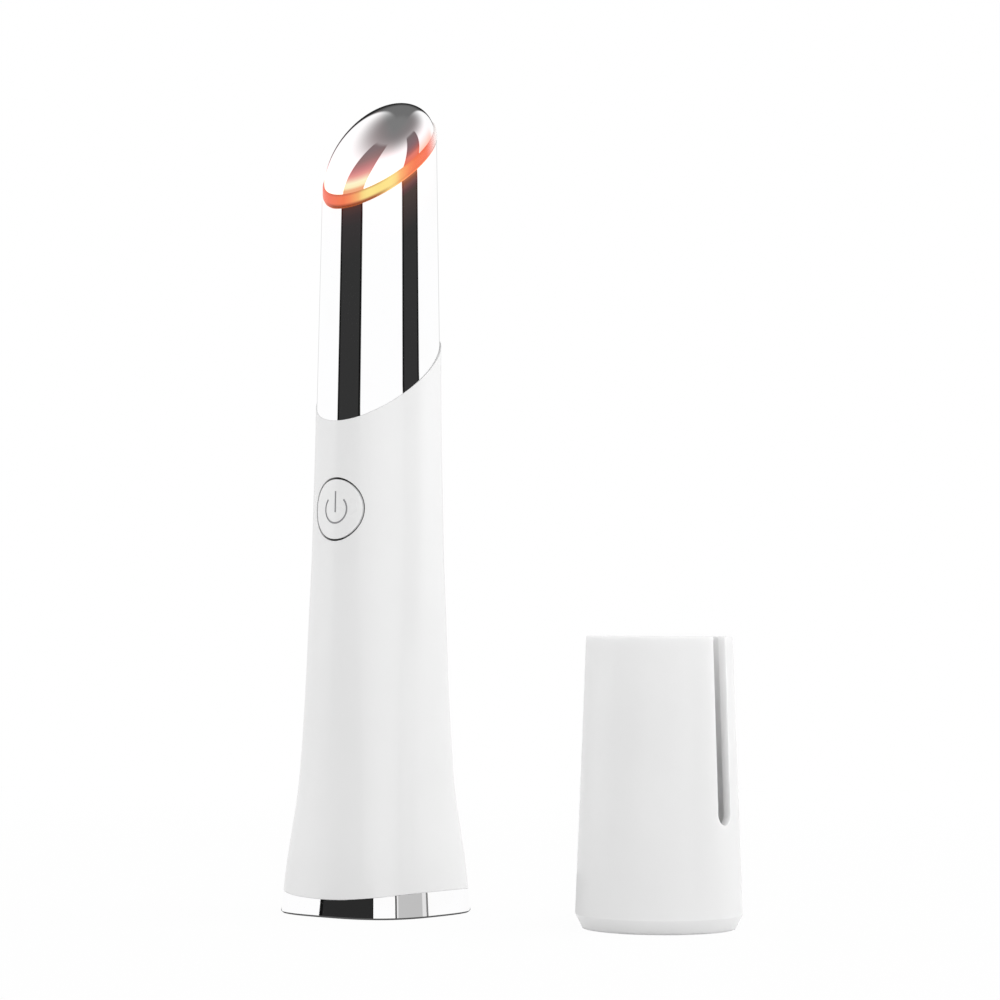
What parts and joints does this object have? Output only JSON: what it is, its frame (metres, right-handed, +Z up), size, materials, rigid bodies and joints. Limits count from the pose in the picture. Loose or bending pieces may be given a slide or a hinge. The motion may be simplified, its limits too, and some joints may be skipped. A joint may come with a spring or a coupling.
{
  "type": "heated eye massager wand",
  "caption": "White handheld eye massager wand with a flared foot, mirror neck, glowing slanted metal head, round power button and a slotted cap standing beside it.",
  "frame": {"origin": "middle of the wand's base face, on the wand's axis", "axes": "+Z up along the wand, -Y towards the power button and the low side of the slanted head, +X towards the cap that stands beside the wand"},
  "size_m": [0.0803, 0.0359, 0.1377],
  "materials": {
    "handle_white": "satin gloss moulded plastic",
    "button_white": "satin gloss moulded plastic",
    "cap_white": "satin gloss moulded plastic",
    "plate_white": "fine matt",
    "ring_chrome": "mirror",
    "neck_chrome": "mirror",
    "head_chrome": "mirror",
    "light_red": "translucent, lit red to yellow",
    "carrier_white": "translucent moulded",
    "chassis_grey": "moulded",
    "screw_steel": "machined",
    "socket_steel": "drawn shell",
    "shaft_steel": "ground",
    "motor_steel": "drawn can",
    "weight_metal": "sintered",
    "seal_rubber": "matt",
    "boot_rubber": "matt",
    "membrane_silicone": "soft",
    "board_green": "solder mask",
    "chip_black": "moulded",
    "switch_black": "moulded",
    "plunger_black": "moulded",
    "led_red": "clear lens, lit",
    "heater_film": "film on metal",
    "pad_grey": "soft",
    "sensor_black": "glass bead",
    "cell_blue": "shrink sleeve",
    "foam_black": "foam",
    "lead_red": "sleeved",
    "lead_blue": "sleeved",
    "lead_black": "sleeved"
  },
  "bodies": {
    "wand": {"handle_shell": "handle_white", "base_ring": "ring_chrome", "base_plate": "plate_white", "base_screws": "screw_steel", "neck_sleeve": "neck_chrome", "neck_seal": "seal_rubber", "light_ring": "light_red", "massage_head": "head_chrome", "head_carrier": "carrier_white", "led_board": "board_green", "red_leds": "led_red", "heater_disc": "heater_film", "thermal_pad": "pad_grey", "thermistor": "sensor_black", "button_membrane": "membrane_silicone", "switch_body": "switch_black", "main_board": "board_green", "board_components": "chip_black", "board_screws": "screw_steel", "usb_socket": "socket_steel", "inner_chassis": "chassis_grey", "battery_cell": "cell_blue", "battery_pad": "foam_black", "motor_can": "motor_steel", "motor_boot": "boot_rubber", "head_leads": "lead_red", "motor_leads": "lead_blue", "battery_leads": "lead_black"},
    "button": {"power_button": "button_white"},
    "plunger": {"switch_plunger": "plunger_black"},
    "rotor": {"motor_shaft": "shaft_steel", "eccentric_weight": "weight_metal"},
    "cap": {"cap": "cap_white"}
  },
  "joints": [
    {"name": "button_press", "type": "slide", "parent": "wand", "child": "button", "axis": [0, 1, 0], "range_m": [0, 0.0003], "stiffness_N_per_m": 1000, "springref_m": -0.0002},
    {"name": "plunger_press", "type": "slide", "parent": "wand", "child": "plunger", "axis": [0, 1, 0], "range_m": [0, 0.0003]},
    {"name": "rotor_spin", "type": "hinge", "parent": "wand", "child": "rotor", "pos_m": [0, 0, 0.111], "axis": [0, 0, 1], "continuous": true},
    {"name": "cap_lift", "type": "slide", "parent": "wand", "child": "cap", "axis": [0, 0, 1], "range_m": [0, 0.15]}
  ],
  "couplings": [
    {"joint": "plunger_press", "follows": "button_press", "ratio": 1}
  ]
}
